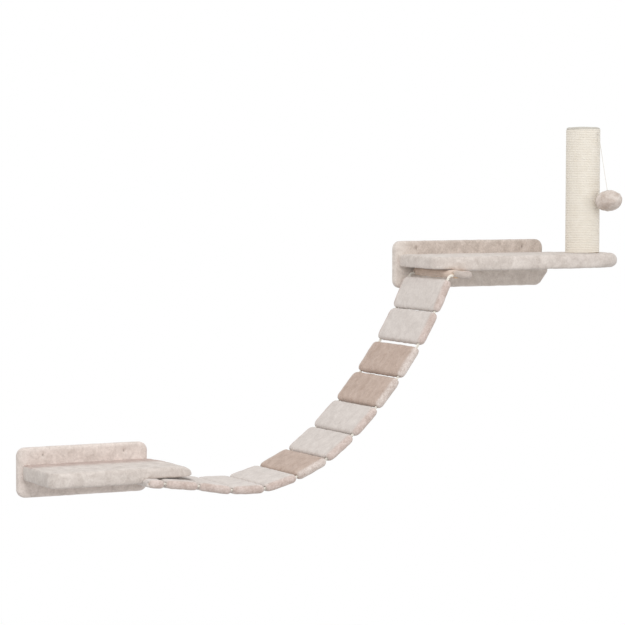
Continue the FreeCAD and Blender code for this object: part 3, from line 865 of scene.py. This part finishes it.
def setAt(bm, place, before, after):
    # turns a shape's before way into the after way and puts its middle at its place
    turn = Vector(before).rotation_difference(after).to_matrix().to_4x4()
    bmesh.ops.transform(bm, matrix=Matrix.Translation(place) @ turn, verts=bm.verts[:])


def makeBall():
    bm = bmesh.new()
    bmesh.ops.create_icosphere(bm, subdivisions=4, radius=1)
    bmesh.ops.scale(bm, verts=bm.verts[:], vec=(toy["radius"], toy["radius"], toy["high"]))
    bm = remeshed(bm, toy["voxel"], 1)
    coarse, fine = toy["seeds"]
    lumps(bm, toy["lump"], toy["lumpSize"], coarse)
    lumps(bm, toy["lump"] * toy["fineLump"], toy["lumpSize"] * toy["fineSize"], fine)
    setAt(bm, ballMiddle, (0, 0, -1), stringWay)
    plushPiece("toyBall", bm, ballPlush, "toy_ball", "toy_ball")


def makeString():
    # straight down from its loop on the staple into the ball
    start = swing + stringWay * toy["stringDrop"]
    end = ballMiddle - stringWay * (toy["high"] - toy["stringInBall"])
    curve = newCurve("toyString", steps=12, radius=toy["string"], roundness=3)
    addSpline(curve, [start, start.lerp(end, 0.5), end])
    curve.materials.append(toyString)
    piece = inScene("toyString", curve)
    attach(piece, "toy_string")
    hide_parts("toy_string")
    bm = bmesh.new()
    ring = bmesh.ops.create_circle(bm, segments=toy["stringSides"],
                                   radius=toy["string"])["verts"]
    bmesh.ops.rotate(bm, verts=ring, cent=(0, 0, 0), matrix=quarterTurn)
    bmesh.ops.translate(bm, verts=ring, vec=(toy["loop"], 0, 0))
    bmesh.ops.spin(bm, geom=ring + bm.edges[:], cent=(0, 0, 0), axis=(0, 0, 1),
                   angle=2 * math.pi, steps=toy["loopSteps"], use_merge=True,
                   use_duplicate=False)
    bmesh.ops.recalc_face_normals(bm, faces=bm.faces[:])
    outward = Vector((stringWay.x, stringWay.y, 0)).normalized()
    setAt(bm, swing + stringWay * toy["loopDrop"], (0, 0, 1), Vector((0, 0, 1)).cross(outward))
    loop = newPiece("toyStringLoop", meshFrom(bm, "loop"), toyString, "toy_string")


makeBall()
makeString()
print("toy ready")


# Floor, light and camera

# for the camera, the floor gives way to white by the share white, and wholly over the distances
# clear from the origin; light is the world's strength on the object, sky what the camera sees
stage = {"floorPlace": (0.9, -2, -1.25), "floorSize": 12, "tint": (214, 214, 214), "white": 0.8,
         "clear": (2.2, 4.0), "light": 0.82, "sky": 1.0}


def floorLook(name, tint):
    # plain pale to the light, nearly white to the camera, with the object's soft shadow left in it
    look = Look(name, Roughness=0.9)
    look.colour(look.blend(look.cloud(look.place(), 3, 2.0), plain(*(c - 4 for c in tint)),
                           plain(*tint)))
    away = look.add("ShaderNodeVectorMath", {"operation": "LENGTH"}, {0: look.place()}, 1)
    near, far = stage["clear"]
    share = ((away - near) / (far - near)).clamp()
    white = look.add("ShaderNodeEmission", {}, {"Color": (1, 1, 1, 1), "Strength": 1.0})
    mixed = look.add("ShaderNodeMixShader", {}, {
        0: look.seen() * (share * (1 - stage["white"]) + stage["white"]),
        1: Wire(look, look.shader.outputs[0]), 2: white})
    look.feed(look.tree.nodes["Material Output"].inputs["Surface"], mixed)
    return look.material


bm = bmesh.new()
bmesh.ops.create_grid(bm, x_segments=1, y_segments=1, size=stage["floorSize"])
bmesh.ops.translate(bm, verts=bm.verts[:], vec=stage["floorPlace"])
floor = inScene("floor", meshFrom(bm, "floor"))
floor.data.materials.append(floorLook("floorPale", stage["tint"]))

world = bpy.data.worlds.new("studio")
scene.world = world
sky = Nodes(world)
background = sky.tree.nodes["Background"].inputs
sky.feed(background["Color"], (1, 1, 1, 1))
sky.feed(background["Strength"], sky.add("ShaderNodeMix", {"data_type": "FLOAT"}, {
    0: sky.seen(), 2: stage["light"], 3: stage["sky"]}))

lamps = {
    "key": {"place": (-1.1, -3.5, 3.7), "aim": (0.9, -0.1, 0.5), "size": 2.6, "power": 96},
    "fill": {"place": (4.2, -3.6, 1.4), "aim": (0.9, -0.1, 0.3), "size": 3.0, "power": 24}}
for name, lamp in lamps.items():
    light = bpy.data.lights.new(name, "AREA")
    light.size = lamp["size"]
    light.energy = lamp["power"]
    holder = inScene(name, light)
    holder.location = lamp["place"]
    aim = Vector(lamp["aim"]) - Vector(lamp["place"])
    holder.rotation_euler = aim.to_track_quat("-Z", "Y").to_euler()

view = {"yaw": 27.18, "pitch": 3.56, "roll": 0.14, "place": (-3.1454, -7.7907, 0.9814),
        "focalPixels": 2560.12, "framePixels": 625, "sensor": 36, "farthest": 100}
yaw, pitch, roll = (math.radians(view[key]) for key in ("yaw", "pitch", "roll"))
ahead = Vector((math.sin(yaw) * math.cos(pitch), math.cos(yaw) * math.cos(pitch),
                -math.sin(pitch)))
level = Vector((math.cos(yaw), -math.sin(yaw), 0))
upright = level.cross(ahead)
rightward = level * math.cos(roll) + upright * math.sin(roll)
upward = upright * math.cos(roll) - level * math.sin(roll)
cameraData = bpy.data.cameras.new("camera")
cameraData.sensor_width = view["sensor"]
cameraData.lens = view["sensor"] * view["focalPixels"] / view["framePixels"]
cameraData.clip_end = view["farthest"]
camera = inScene("camera", cameraData)
placed = Matrix((rightward, upward, -ahead)).transposed().to_4x4()
placed.translation = Vector(view["place"])
camera.matrix_world = placed
scene.camera = camera
scene.view_settings.view_transform = "Standard"
print("stage ready")

bpy.context.view_layer.update()
